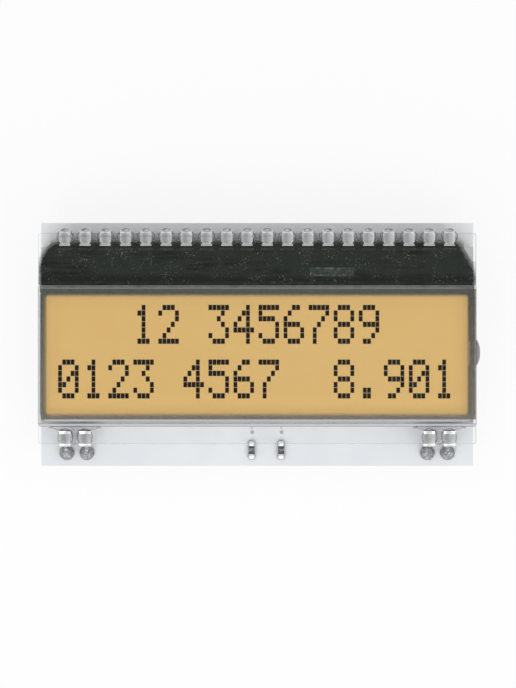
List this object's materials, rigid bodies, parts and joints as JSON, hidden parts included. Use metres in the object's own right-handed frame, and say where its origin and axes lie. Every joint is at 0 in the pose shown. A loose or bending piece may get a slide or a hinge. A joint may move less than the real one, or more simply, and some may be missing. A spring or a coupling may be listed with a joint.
{
  "type": "character lcd module",
  "caption": "Chip-on-glass character display: two glass plates with an amber window, a black coated driver ledge, edge-clip pins and a white backlight board behind.",
  "frame": {"origin": "centre of the backlight board's underside, the face that lies on the carrier board", "axes": "+X along the lines of characters, to the right as they are read; +Y towards the long row of pins; +Z out of the display face"},
  "size_m": [0.0555, 0.0308, 0.009],
  "materials": {
    "board_white": "satin solder mask",
    "film_white": "matte",
    "guide_clear": "frosted",
    "led_amber": "glossy",
    "resistor_body": "satin, with tinned end caps",
    "solder": "dull, grainy",
    "pin_tin": "tin plated, bright",
    "glass_clear": "polished, scribed edges",
    "polariser_amber": "satin film",
    "polariser_rear": "satin film",
    "seal_resin": "cured resin",
    "liquid_crystal": "thin layer",
    "plug_resin": "cured resin",
    "chip_silicon": "ground back",
    "coating_black": "semi-gloss, slightly uneven",
    "glue_clear": "clear, glossy"
  },
  "bodies": {
    "root": {"backlight_board": "board_white", "chip_coating": "coating_black", "diffuser_film": "film_white", "driver_chip": "chip_silicon", "end_plug": "plug_resin", "front_glass": "glass_clear", "front_polariser": "polariser_amber", "led_1": "led_amber", "led_2": "led_amber", "led_3": "led_amber", "led_4": "led_amber", "light_guide": "guide_clear", "liquid_crystal": "liquid_crystal", "pin_1": "pin_tin", "pin_19": "pin_tin", "pin_2": "pin_tin", "pin_20": "pin_tin", "pin_21": "pin_tin", "pin_22": "pin_tin", "pin_23": "pin_tin", "pin_24": "pin_tin", "pin_25": "pin_tin", "pin_26": "pin_tin", "pin_27": "pin_tin", "pin_28": "pin_tin", "pin_29": "pin_tin", "pin_30": "pin_tin", "pin_31": "pin_tin", "pin_32": "pin_tin", "pin_33": "pin_tin", "pin_34": "pin_tin", "pin_35": "pin_tin", "pin_36": "pin_tin", "pin_37": "pin_tin", "pin_38": "pin_tin", "pin_39": "pin_tin", "pin_40": "pin_tin", "pin_glue_left": "glue_clear", "pin_glue_right": "glue_clear", "pin_glue_top": "glue_clear", "rear_glass": "glass_clear", "rear_polariser": "polariser_rear", "reflector_film": "film_white", "resistor_1": "resistor_body", "resistor_2": "resistor_body", "resistor_solder_1": "solder", "resistor_solder_2": "solder", "seal_ring": "seal_resin", "solder_joint_1": "solder", "solder_joint_19": "solder", "solder_joint_2": "solder", "solder_joint_20": "solder"}
  },
  "joints": []
}
